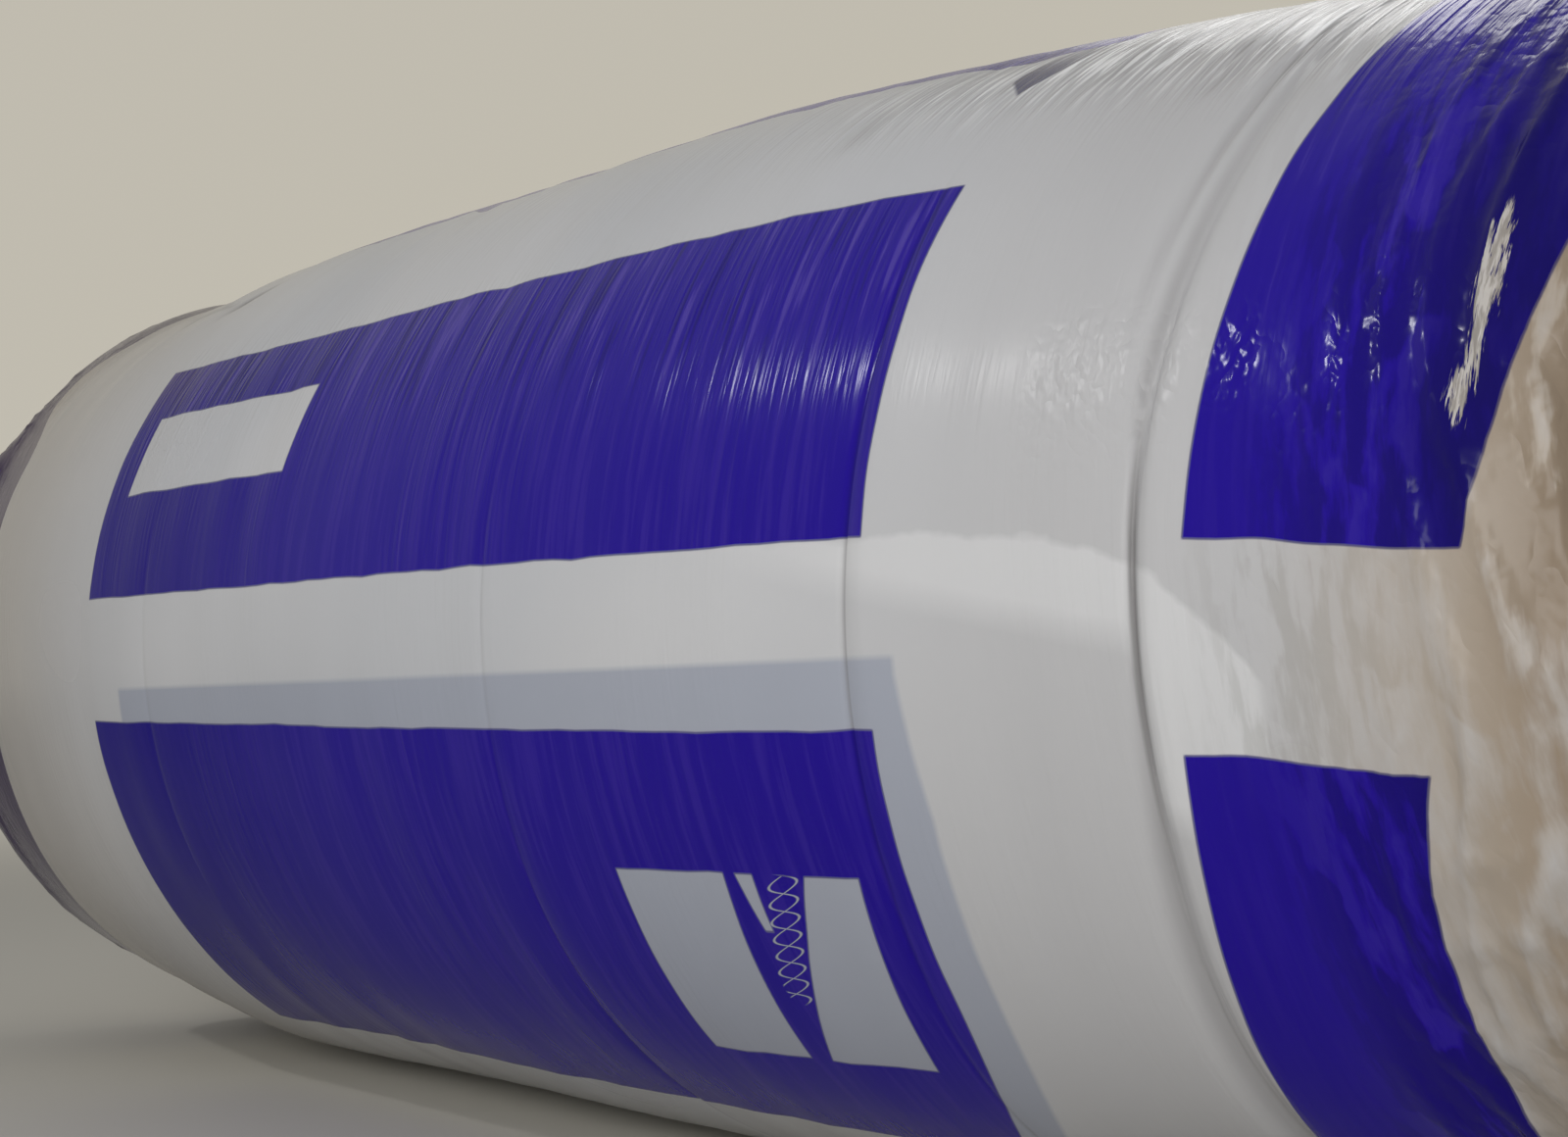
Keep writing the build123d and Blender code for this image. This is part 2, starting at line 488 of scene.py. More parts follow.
class Graph:
    """A node tree that is written as calls and sums."""

    def __init__(self, tree):
        self.tree = tree

    def make(self, kind, settings=None, sockets=None, out=0):
        """Adds a node: its settings first, then the values or links of its sockets.
        Gives one of its outputs."""
        node = self.tree.nodes.new(kind)
        for key, value in (settings or {}).items():
            if key == "stops":
                elements = node.color_ramp.elements
                while len(elements) < len(value):
                    elements.new(1.0)
                for element, (position, colour) in zip(elements, value):
                    element.position = position
                    element.color = (*colour, 1)
            else:
                setattr(node, key, value)
        for key, value in (sockets or {}).items():
            self.feed(node.inputs[key], value)
        return Wire(self, node.outputs[out])

    def feed(self, socket, value):
        if isinstance(value, Wire):
            self.tree.links.new(value.socket, socket)
        elif isinstance(value, tuple) and socket.type == "RGBA":
            socket.default_value = (*value, 1)
        else:
            socket.default_value = value

    def math(self, operation, *values, clamp=False):
        settings = {"operation": operation, "use_clamp": clamp}
        return self.make("ShaderNodeMath", settings, dict(enumerate(values)))

    def split(self, vector):
        node = self.make("ShaderNodeSeparateXYZ", sockets={0: vector}).socket.node
        return [Wire(self, socket) for socket in node.outputs]

    def vector(self, x, y, z):
        return self.make("ShaderNodeCombineXYZ", sockets={0: x, 1: y, 2: z})

    def limit(self, value):
        return self.math("ADD", value, 0, clamp=True)

    def least(self, a, b):
        return self.math("MINIMUM", a, b)

    def most(self, a, b):
        return self.math("MAXIMUM", a, b)

    def ramp(self, value, start, end):
        """Smooth step from 0 at start to 1 at end, either way round."""
        ends = {1: start, 2: end} if start < end else {1: end, 2: start, 3: 1.0, 4: 0.0}
        smooth = {"interpolation_type": "SMOOTHSTEP"}
        return self.make("ShaderNodeMapRange", smooth, {0: value, **ends})

    def border(self, value, place, soft):
        """0 before a place and 1 after it, rising evenly over the width soft.
        A negative width turns it round."""
        ends = {1: place - soft / 2, 2: place + soft / 2}
        return self.make("ShaderNodeMapRange", sockets={0: value, **ends})

    def within(self, value, low, high, soft):
        """1 between low and high, with borders that are soft wide."""
        return self.border(value, low, soft) * self.border(value, high, -soft)

    def noise(self, vector, scale, detail=3.0, rough=0.5):
        sockets = {"Vector": vector, "Scale": scale, "Detail": detail, "Roughness": rough}
        return self.make("ShaderNodeTexNoise", {"noise_dimensions": "3D"}, sockets)

    def sheet_noise(self, along, around, detail=2.0, rough=0.5):
        """Noise over the unrolled film, in waves along the roll and round it."""
        place = self.vector(along, around, 0.0)
        sockets = {"Vector": place, "Scale": 1.0, "Detail": detail, "Roughness": rough}
        return self.make("ShaderNodeTexNoise", {"noise_dimensions": "2D"}, sockets)

    def carried(self, name):
        """A value that the mesh carries at its points."""
        return self.make("ShaderNodeAttribute", {"attribute_name": name}, out="Fac")

    def mix(self, share, a, b):
        """Mixes two colours."""
        return self.make("ShaderNodeMix", {"data_type": "RGBA"}, {"Factor": share, 6: a, 7: b}, 2)


def new_material(name):
    material = bpy.data.materials.new(name)
    material.use_nodes = True
    graph = Graph(material.node_tree)
    shader = material.node_tree.nodes["Principled BSDF"]
    return material, graph, shader


# Print on the film: pairs of places along the roll, and of angles round it
PRINT_REPEAT = 124.0        # degrees after which the print comes again
PANEL_LEFT, PANEL_RIGHT = -0.306, 0.3185
PANEL_ROWS = (4.9, 37.5)
TALL_ROWS = (-58.0, -10.7)
LABEL, LABEL_ROWS = (-0.283, -0.112), (18.1, 29.2)          # left bare in the upper panel
PATCH_FOOT, PATCH_TOP = -45.0, -23.9                        # rows left bare in the tall panel
EDGE = 0.0012               # softness of the print's edges along the roll
EDGE_DEGREES = 0.27         # and round it

# Bare patches of the tall panel: left side and its slant down the patch, right side and its slant
PATCHES = [
    (0.155, 0.0, 0.2215, -0.0060),
    (0.2675, -0.0395, 0.2965, -0.0095),
    (0.2285, 0.0200, 0.2385, 0.0),
]
LOOPS_PLACE, LOOPS_SLANT = 0.2557, -0.037   # line that the drawn loops follow
LOOPS_HALF = 0.0078
LOOPS_TURNS = 6.4

# Bands near both ends. The near one widens round the roll, and the far one's inner edge
# is drawn in by the first step and let out again by the second, between two angles.
NEAR_BAND, NEAR_BAND_LEAN = 0.4612, 0.00026                 # metres, and metres a degree
NEAR_BAND_END, NEAR_BAND_END_LEAN = 0.5581, 0.00088
NEAR_BAND_END_RANGE = (0.5375, 0.5840)
FAR_BAND_END, FAR_BAND = -0.604, -0.488
FAR_BAND_IN, FAR_BAND_IN_AT = 0.048, (26.0, 43.0)
FAR_BAND_OUT, FAR_BAND_OUT_AT = 0.022, (46.0, 57.0)
BAND_ROWS = (4.0, PRINT_REPEAT - 12.6)

# Splits in the near band's ink: path and how it shifts up the split, degrees from and to,
# half width, how far their sides fray in metres and their ends in degrees, softness of the ends
SPLITS = [
    (0.5600, 0.0012, 14.3, 29.7, 0.0036, 0.0120, 5.0, 0.8),
    (0.5572, -0.0016, 11.2, 16.2, 0.0026, 0.0110, 3.0, 0.6),
]
SPLIT_SOFT = 0.0007

# Colours of bare film, of ink, and of what shows through them, with painted shade, highlights and
# sheen among them
WHITE = (0.46, 0.46, 0.468)
WHITE_CLOUDED = (0.425, 0.43, 0.445)
WHITE_DOUBLE = (0.52, 0.52, 0.525)
# Painted shade: bare film darker towards the near end and towards the far end
WHITE_NEAR_SHADED = (0.395, 0.392, 0.398)
WHITE_FAR_SHADED = (0.345, 0.325, 0.302)
# Painted highlight: whiter streaks on strained film at the near top
STRAINED_HIGHLIGHT = (0.82, 0.82, 0.82)
# Painted shade in the creases and folds of bare film
CREASE_SHADE = (0.14, 0.135, 0.135)
VIOLET = (0.012, 0.0035, 0.215)
# Painted highlights on the ink: paler along strained lines and on facets of the near band
VIOLET_STRAINED_HIGHLIGHT = (0.026, 0.012, 0.235)
VIOLET_HIGHLIGHT_LINE = (0.070, 0.048, 0.300)
# Painted shade: ink darker towards the far end
VIOLET_FAR_SHADED = (0.005, 0.0010, 0.145)
# Dark ink for the print's edges, and painted shade on the ink
VIOLET_EDGE_AND_SHADE = (0.004, 0.002, 0.075)
# Painted sheen: a grey veil at the far top of the upper panel
VIOLET_SHEEN_VEIL = (0.055, 0.030, 0.070)
VIOLET_DULL = (0.022, 0.008, 0.030)
GHOST = (0.27, 0.29, 0.345)
TAIL_SHADE = (0.035, 0.035, 0.090)
TAN = (0.300, 0.252, 0.200)
TAN_DEEP = (0.222, 0.170, 0.122)
TAN_SHADED = (0.160, 0.118, 0.080)
TOUCHING = (0.27, 0.265, 0.25)
TORN = (0.42, 0.40, 0.38)
TORN_DEEP = (0.22, 0.205, 0.19)


def repeats(g, angle, low, high):
    """1 between two angles and in every repeat of the print."""
    middle = (low + high) / 2
    off = g.math("PINGPONG", angle - (middle - 2 * PRINT_REPEAT), PRINT_REPEAT / 2)
    return g.border(off, (high - low) / 2, -EDGE_DEGREES)


def panel_holes(g, along, angle, wobble):
    """Bare patches in the tall panel, and loops of the drawing sign for insulation between them."""
    turns = g.math("ROUND", (angle - (PATCH_TOP + PATCH_FOOT) / 2) / PRINT_REPEAT)
    down = (PATCH_TOP - (angle - turns * PRINT_REPEAT)) / (PATCH_TOP - PATCH_FOOT)

    def side(place, slant, soft):
        return g.border(along - down * slant if slant else along, place, soft)

    first, second, chip = (
        side(left, left_slant, EDGE) * side(right, right_slant, -EDGE)
        for left, left_slant, right, right_slant in PATCHES
    )
    chip = chip * g.border(down, 0.272, -0.017)

    phase = down * (math.tau * LOOPS_TURNS) + (along - LOOPS_PLACE) * 90.0
    swing = g.math("SINE", phase) * LOOPS_HALF
    off = along - (LOOPS_PLACE + down * LOOPS_SLANT)
    strand = g.least(abs(off - swing), abs(off + swing))
    loops = g.border(strand, 0.0008, -0.0006) * g.border(along - down * 0.009, 0.2235, EDGE)
    loops = loops * g.border(down, 0.648, -0.025)
    rows = repeats(g, angle + wobble * 0.5, PATCH_FOOT, PATCH_TOP)
    return rows * g.most(g.most(first, second), g.most(chip, loops))


def end_bands(g, path, along, angle, wobble):
    """Bands near both ends, open between the panels."""
    held = g.least(g.most(angle, -60.0), 70.0)
    near_end = g.most(NEAR_BAND_END + held * NEAR_BAND_END_LEAN, NEAR_BAND_END_RANGE[0])
    near_end = g.least(near_end, NEAR_BAND_END_RANGE[1])
    near = g.border(along - held * NEAR_BAND_LEAN, NEAR_BAND, EDGE)
    near = near * g.border(along - near_end, 0.0, -EDGE)
    drawn_in = g.ramp(angle, *FAR_BAND_IN_AT) * FAR_BAND_IN
    drawn_in = drawn_in - g.ramp(angle, *FAR_BAND_OUT_AT) * FAR_BAND_OUT
    far = g.border(along, FAR_BAND_END, EDGE) * g.border(along + drawn_in, FAR_BAND, -EDGE)
    foot = g.ramp(path, 0.462, 0.558) * 2.7
    return g.most(near, far) * repeats(g, angle + foot * 0.6 + wobble * 0.5, *BAND_ROWS)


def ink_splits(g, path, angle):
    """Slender frayed split in the near band's ink, and a second short piece below it."""
    threads = g.sheet_noise(path * 780.0, angle * 0.233, 3.0, 0.7) - 0.5
    pieces = []
    for place, shift, low, high, half, fray, fray_ends, soft in SPLITS:
        rise = (angle - low) / (high - low)
        width = g.limit(rise * (1 - rise) * 4.0) * half + threads * fray
        piece = g.border(width - abs(path - (rise * shift + place)), 0.0, SPLIT_SOFT)
        pieces.append(piece * g.within(angle + threads * fray_ends, low, high, soft))
    return g.most(*pieces)


def print_masks(g, path, angle):
    """Where the film is printed, where the print underneath shows through it,
    the streak of the next panel's corner, and the splits in the near band."""
    wobble = g.carried("film_wobble")
    along = path + wobble * 0.0018
    skew = (g.least(g.most(angle, -15.0), 45.0) * 0.125 + 1.3) * path
    across = angle - skew + wobble * 0.5
    pull = g.least(g.most(-34.0 - angle, 0.0), 24.0)
    left = g.border(along, PANEL_LEFT, EDGE)
    panel = left * g.border(along, PANEL_RIGHT, -EDGE) * repeats(g, across, *PANEL_ROWS)
    label = g.within(along, *LABEL, EDGE) * repeats(g, across, *LABEL_ROWS)
    pulled_down = g.ramp(angle, 52.0, 60.0) * (g.sheet_noise(path * 12.6, 0.0, 1.0) - 0.35) * 12.0
    tall = left * g.border(along + pull * pull * 0.00005, PANEL_RIGHT + 0.002, -EDGE)
    tall = tall * repeats(g, across + pulled_down, *TALL_ROWS)
    holes = panel_holes(g, along, angle, wobble)
    band = end_bands(g, path, along, angle, wobble)
    split = ink_splits(g, path, angle)
    printed = g.most(g.most(panel * (1 - label), tall * (1 - holes)), band * (1 - split))

    tail_line = path - (0.2990 + (angle - 56.0) * 0.0006)
    tail_half = g.border(angle, 56.5, 5.0) * 0.0040 + 0.0075
    tail = g.within(angle + tail_line * 220.0, 55.0, 67.0, 0.5)
    tail = tail * g.border(tail_half - abs(tail_line), 0.00045, 0.0009)

    under_right = g.least(0.3345 + g.most(-6.0 - angle, 0.0) * 0.0006, 0.3420)
    under = g.border(along - (under_right - pull * pull * 0.00004), 0.0, -0.0030)
    under = under * g.border(along, PANEL_LEFT + 0.035, 0.0030)
    under = under * g.border(angle - path * 3.6, TALL_ROWS[1] + 5.0, -0.6)
    under = under * g.border(angle, -55.0, 2.0)
    return printed, under * (1 - printed), tail, split * band


def lap_mask(g, path, angle):
    """Double film below the lap's edge."""
    frayed = (g.sheet_noise(path * 60.0, angle * 0.27) - 0.5) * 1.6
    bend = g.most(path - 0.36, 0.0)
    lap_edge = g.least(5.4 - bend * bend * 484.0, 2.2 - (path - 0.447) * 205.0) + frayed
    lap_foot = 1.3 - (path - 0.322) * 41.0 - g.ramp(path, 0.438, 0.445) * 14.0
    lap = g.border(angle - lap_edge, 0.0, -0.7) * g.border(angle - lap_foot, 0.0, 3.0)
    return lap * g.ramp(path, 0.20, 0.33) * g.ramp(path, 0.493, 0.487)


def wool_tone(g, path, angle, on_ring):
    """Uneven touch of film and wool, about 0.5: in facets and runs on the shoulders,
    and in patches on the flat rings of the ends. In the near band's ink it paints shade and
    highlight on the facets."""
    place = g.make("ShaderNodeTexCoord", out="Object")
    x, y, z = g.split(place)
    patches = g.noise(g.vector(x * 2.2 + z * 0.3, y * 1.1, z * 1.1), 21.0, 3.0, 0.62)
    push = (g.noise(place, 18.0, 3.0, 0.6) - 0.5) * 2.4
    facet_place = g.vector(path * 78.0 + push + angle * 0.030, angle * 0.115 + push * 0.8, 0.0)
    facet = g.make(
        "ShaderNodeTexVoronoi",
        {"feature": "SMOOTH_F1", "voronoi_dimensions": "2D"},
        {"Vector": facet_place, "Scale": 1.0, "Smoothness": 0.35},
        "Color",
    )
    facet = g.split(facet)[0]
    runs = g.sheet_noise(path * 105.0 + angle * 0.05 + push * 0.25, angle * 0.085, 4.0, 0.6)
    crumpled = facet * 0.30 + runs * 0.95 - 0.13
    gathered = facet * 0.18 + patches * 1.15 - 0.18
    return crumpled + (gathered - crumpled) * on_ring


def bare_film(g, path, angle, cloud, fine):
    """Colour of unprinted film where no wool shows through it, with painted shade towards both
    ends, and painted highlight streaks with painted shade between them at the near top.
    """
    bare = g.mix(g.ramp(cloud, 0.3, 0.7), WHITE, WHITE_CLOUDED)
    # Painted shade: darker towards the near end and towards the far end
    bare = g.mix(g.ramp(path, 0.24, 0.42), bare, WHITE_NEAR_SHADED)
    bare = g.mix(g.ramp(path, -0.20, -0.50), bare, WHITE_FAR_SHADED)
    # Painted highlight: whiter streaks at the near top where the film is strained, with painted
    # shade between them
    painted_fan = g.ramp(angle, 46.0, 60.0) * g.ramp(path, 0.14, 0.34)
    bare = g.mix(g.ramp(fine, 0.53, 0.65) * painted_fan * 0.75, bare, STRAINED_HIGHLIGHT)
    bare = g.mix(g.ramp(fine, 0.46, 0.36) * painted_fan * 0.25, bare, CREASE_SHADE)
    return g.mix(lap_mask(g, path, angle) * 0.75, bare, WHITE_DOUBLE)


def wool_through(g, bare, path, angle, tone, on_ring):
    """Adds the wool that shows through where unprinted film lies on it, with painted shade on the
    front of the near shoulder.
    """
    lifted = g.carried("film_lifted")
    from_middle = abs(path)
    # Painted shade on the front of the near shoulder: more wool, and darker wool, show there
    shaded = g.ramp(angle, -11.0, 7.0) * g.ramp(angle, 90.0, 60.0) * g.ramp(path, 0.555, 0.575)
    clear = shaded * 0.30 + 1.06 - lifted * (0.50 + on_ring * 0.25)
    through = g.limit(clear + (tone - 0.5) * (1.1 + on_ring * 0.4))
    through = through * g.ramp(from_middle, 0.480, 0.580)
    touch = g.ramp(from_middle, 0.45, 0.50) * g.ramp(from_middle, 0.60, 0.54)
    touch = touch * g.ramp(tone, 0.46, 0.66)
    deep = g.ramp(tone + (0.5 - lifted) * 0.4 + shaded * 0.06, 0.32, 0.54)
    deep = deep * g.ramp(from_middle, 0.548, 0.595)
    wool = g.mix(deep * 0.85, TAN, g.mix(shaded * 0.65, TAN_DEEP, TAN_SHADED))
    return g.mix(through, g.mix(touch * 0.45, bare, TOUCHING), wool)


def ink_colour(g, path, angle, streaks, tone):
    """Colour of the ink: paler in painted highlights along strained lines, with painted shade
    beside them, with painted highlight and shade on the near band's facets, darker towards the near
    band's outer edge, with painted shade towards the far end and a painted sheen at the far top,
    and duller towards the far end.
    """
    calm = g.ramp(path, 0.36, 0.45) * 0.7
    upper = g.ramp(angle, 15.0, 30.0) * (1 - calm)
    loose = g.ramp(path, 0.470, 0.525)
    # Painted highlight: paler ink along strained lines
    ink = g.mix(g.ramp(streaks, 0.42, 0.70) * (1 - calm) * 0.7, VIOLET, VIOLET_STRAINED_HIGHLIGHT)
    for share, colour in (
        # Painted shade towards the far end
        (g.ramp(path, -0.02, -0.28) * 0.75, VIOLET_FAR_SHADED),
        # Painted highlight and painted shade along strained lines on the upper part, then on facets
        # of the near band
        (g.ramp(streaks, 0.60, 0.70) * upper * 0.6, VIOLET_HIGHLIGHT_LINE),
        (g.ramp(streaks, 0.44, 0.33) * upper * 0.5, VIOLET_EDGE_AND_SHADE),
        (g.ramp(tone, 0.56, 0.42) * loose * 0.55, VIOLET_EDGE_AND_SHADE),
        (g.ramp(tone, 0.54, 0.66) * loose * 0.12, VIOLET_HIGHLIGHT_LINE),
        (g.ramp(path, 0.525, 0.560) * 0.8, VIOLET_EDGE_AND_SHADE),
        # Painted sheen: a grey veil at the far top of the panel
        (g.ramp(path, -0.20, -0.34) * g.ramp(angle, 25.0, 33.0) * 0.35, VIOLET_SHEEN_VEIL),
        (g.ramp(path, -0.36, -0.48) * 0.85, VIOLET_DULL),
    ):
        ink = g.mix(share, ink, colour)
    return ink


def fine_relief(g, path, angle, z, fine):
    """Strained lines round the film, small sharp crinkles, and crushed spots."""
    strained = abs(g.sheet_noise(path * 169.0 + z * 10.0, angle * 0.047) - 0.5) * 1.43
    crinkle = abs(g.sheet_noise(path * 74.0 + z * 22.0, angle * 0.186) - 0.5)
    small = abs(g.sheet_noise(path * 101.0 + z * 20.0, angle * 0.315) - 0.5)
    relief = (strained + fine * 0.35) * g.carried("film_pulled")
    return relief + crinkle * g.carried("film_crinkled") + small * g.carried("film_crushed")


def film_finish():
    material, g, shader = new_material("printed_film")
    path, angle, cloud = (g.carried("film_" + name) for name in ("path", "angle", "cloud"))
    z = g.split(g.make("ShaderNodeTexCoord", out="Object"))[2]
    printed, ghost, tail, torn = print_masks(g, path, angle)
    on_ring = g.ramp(abs(path), 0.600, 0.640)
    tone = wool_tone(g, path, angle, on_ring)
    fine = g.sheet_noise(path * 390.0 + z * 19.5, angle * 0.093)

    bare = g.mix(ghost * 0.85, bare_film(g, path, angle, cloud, fine), GHOST)
    bare = wool_through(g, bare, path, angle, tone, on_ring)
    strands = g.sheet_noise(path * 700.0, angle * 0.35, 3.0, 0.6)
    bare = g.mix(torn * 0.8, bare, g.mix(g.ramp(strands, 0.40, 0.62), TORN_DEEP, TORN))
    bare = g.mix(tail * (0.85 - g.ramp(angle, 57.5, 66.0) * 0.45), bare, TAIL_SHADE)

    streaks = g.sheet_noise(path * 169.0 + z * 8.5, angle * 0.047, 3.0, 0.55)
    colour = g.mix(printed, bare, ink_colour(g, path, angle, streaks, tone))
    rim = g.limit(1 - abs(printed - 0.5) * 2)
    colour = g.mix(rim * 0.6, colour, VIOLET_EDGE_AND_SHADE)
    # Painted shade: creases and folds darken the film and its ink
    colour = g.mix(g.carried("film_crease"), colour, g.mix(printed, CREASE_SHADE, VIOLET_EDGE_AND_SHADE))
    g.feed(shader.inputs["Base Color"], colour)
    g.feed(shader.inputs["Roughness"], 0.12 + cloud * 0.10 + (1 - printed) * 0.08)
    shader.inputs["Specular IOR Level"].default_value = 0.11
    sockets = {"Strength": 1.0, "Distance": 0.0009, "Height": fine_relief(g, path, angle, z, fine)}
    g.feed(shader.inputs["Normal"], g.make("ShaderNodeBump", sockets=sockets))
    return material


# Wool
def new_tree(name, inputs):
    """Geometry tree that takes a mesh and named sizes and gives a mesh."""
    tree = bpy.data.node_groups.new(name, "GeometryNodeTree")
    tree.interface.new_socket("Geometry", in_out="INPUT", socket_type="NodeSocketGeometry")
    for key, (kind, value) in inputs.items():
        socket = tree.interface.new_socket(key, in_out="INPUT", socket_type=kind)
        socket.default_value = value
    tree.interface.new_socket("Geometry", in_out="OUTPUT", socket_type="NodeSocketGeometry")
    graph = Graph(tree)
    source = tree.nodes.new("NodeGroupInput")
    sink = tree.nodes.new("NodeGroupOutput")
    wires = {socket.name: Wire(graph, socket) for socket in source.outputs if socket.name}
    return tree, graph, wires, sink


def settle(item, tree, material):
    """Turns what the tree makes into the object's own plain mesh."""
    modifier = item.modifiers.new("made", "NODES")
    modifier.node_group = tree
    depsgraph = bpy.context.evaluated_depsgraph_get()
    made = bpy.data.meshes.new_from_object(item.evaluated_get(depsgraph))
    item.modifiers.remove(modifier)
    item.data = made
    made.materials.clear()
    made.materials.append(material)
    made.shade_smooth()
    return item


def blanket_section():
    """Outline of the flat blanket cut across: long faces, and ends that bulge."""
    half = (TURN_PITCH - TURN_GAP) / 2
    straight = WOOL_HALF - CUT_CROWN
    stations = [0.0, 0.20, 0.36, 0.47, 0.54, 0.575]
    top = [(half, place) for place in stations]
    for bend in (math.pi * step / 8 for step in range(9)):
        top.append((half * math.cos(bend), straight + CUT_CROWN * math.sin(bend) ** 0.55))
    top += [(-half, place) for place in reversed(stations)]
    points = top + [(-a, -b) for a, b in top[1:-1]]
    edges = [(i, (i + 1) % len(points)) for i in range(len(points))]
    mesh = bpy.data.meshes.new("blanket_section")
    mesh.from_pydata([(a, b, 0) for a, b in points], edges, [])
    return mesh


def stored(g, geometry, name, value):
    """Keeps a value at the points of a curve, for the material."""
    settings = {"data_type": "FLOAT", "domain": "POINT"}
    sockets = {"Geometry": geometry, "Name": name, "Value": value}
    return g.make("GeometryNodeStoreNamedAttribute", settings, sockets)


def moved(g, geometry, place):
    return g.make("GeometryNodeSetPosition", sockets={"Geometry": geometry, "Position": place})


def bell(g, value, place, half):
    """Exponent of a bell curve that is 1 at the place."""
    return ((value - place) / half) ** 2.0


def squeezed(g, x, y, z):
    """How much the round roll is slimmed and pushed out of round, as a factor."""
    radius = g.math("SQRT", y * y + z * z)
    near = g.limit((x - NEAR_STRAIGHT) / (SHOULDER_START - NEAR_STRAIGHT)) ** NEAR_POWER * NEAR_DROP
    far = g.limit((-x - FAR_STRAIGHT) / (SHOULDER_START - FAR_STRAIGHT)) ** FAR_POWER * FAR_DROP
    turned = g.limit((abs(x) - SHOULDER_START) / SHOULDER)
    rounding = (1 - g.math("SQRT", g.most(1 - turned * turned, 0.0))) * SHOULDER
    degrees = g.math("ARCTAN2", z, -y) * (180 / math.pi)
    top = g.ramp(x, *NEAR_BULGE_STARTS) * NEAR_BULGE + g.ramp(x, *FAR_BULGE_STARTS) * FAR_BULGE
    top = top - g.ramp(x, *SAG_STARTS) * (1 - g.ramp(x, *SAG_FADES)) * FAR_SAG
    top = top * g.math("EXPONENT", -bell(g, degrees, TOP_ANGLE, TOP_SPREAD))
    dent = bell(g, x, DENT_PLACE, DENT_WIDTH) + bell(g, degrees, DENT_ANGLE, DENT_SPREAD)
    out_of_round = top - g.math("EXPONENT", -dent) * DENT
    share = radius / SLEEVE_RADIUS
    factor = 1 - (near + far + rounding - out_of_round) / SLEEVE_RADIUS * share * share
    return factor, radius * factor


def blanket_tree(material):
    first = EYE_RADIUS + TURN_PITCH / 2
    last = SLEEVE_RADIUS - WOOL_INSET - TURN_PITCH / 2
    tree, g, given, sink = new_tree("wind_blanket", {
        "First radius": ("NodeSocketFloat", first),
        "Last radius": ("NodeSocketFloat", last),
        "Pitch": ("NodeSocketFloat", TURN_PITCH),
        "Steps a turn": ("NodeSocketInt", 124),
        "Fibres": ("NodeSocketFloat", 22000.0),
        "Fibre length": ("NodeSocketFloat", 0.011),
    })
    turns = (given["Last radius"] - given["First radius"]) / given["Pitch"]
    spiral = g.make("GeometryNodeCurveSpiral", sockets={
        "Resolution": given["Steps a turn"],
        "Rotations": turns,
        "Start Radius": given["First radius"],
        "End Radius": given["Last radius"],
        "Height": 0.0,
    })
    section = g.make("GeometryNodeMeshToCurve", sockets={0: given["Geometry"]})
    run = g.make("GeometryNodeSplineParameter", out="Length")
    spiral = stored(g, spiral, "wound_length", run)
    across = g.split(g.make("GeometryNodeInputPosition"))[0]
    section = stored(g, section, "blanket_depth", across)
    roll = g.make("GeometryNodeCurveToMesh", sockets={0: spiral, 1: section, "Fill Caps": True})

    # The spiral is made lying flat, so its axis is turned to X before it is squeezed
    a, b, c = g.split(g.make("GeometryNodeInputPosition"))
    roll = moved(g, roll, g.vector(c, a, b))
    place = g.make("GeometryNodeInputPosition")
    x, y, z = g.split(place)
    squeeze, radius = squeezed(g, x, y, z)
    back = g.ramp(radius, 0.085, 0.125) * 0.006
    uneven = (g.noise(place, 11.0, 2.0) - 0.5) * 0.014
    ragged = (g.noise(place, 95.0, 4.0, 0.65) - 0.5) * 0.0085
    at_end = g.ramp(abs(x), WOOL_HALF - 0.03, WOOL_HALF)
    moved_x = x + g.math("SIGN", x) * (uneven + ragged - back) * at_end
    bulge = 1 + (g.noise(place, 26.0, 2.0) - 0.5) * 0.028 * at_end
    roll = moved(g, roll, g.vector(moved_x, y * squeeze * bulge, z * squeeze * bulge + AXIS_Z))
    joined = g.make("GeometryNodeJoinGeometry", sockets={0: roll})
    fibres = loose_fibres(g, roll, given["Fibres"], given["Fibre length"])
    g.feed(joined.socket.node.inputs[0], fibres)
    made = g.make("GeometryNodeRealizeInstances", sockets={0: joined})
    made = g.make("GeometryNodeSetMaterial", sockets={"Geometry": made, "Material": material})
    tree.links.new(made.socket, sink.inputs[0])
    return tree


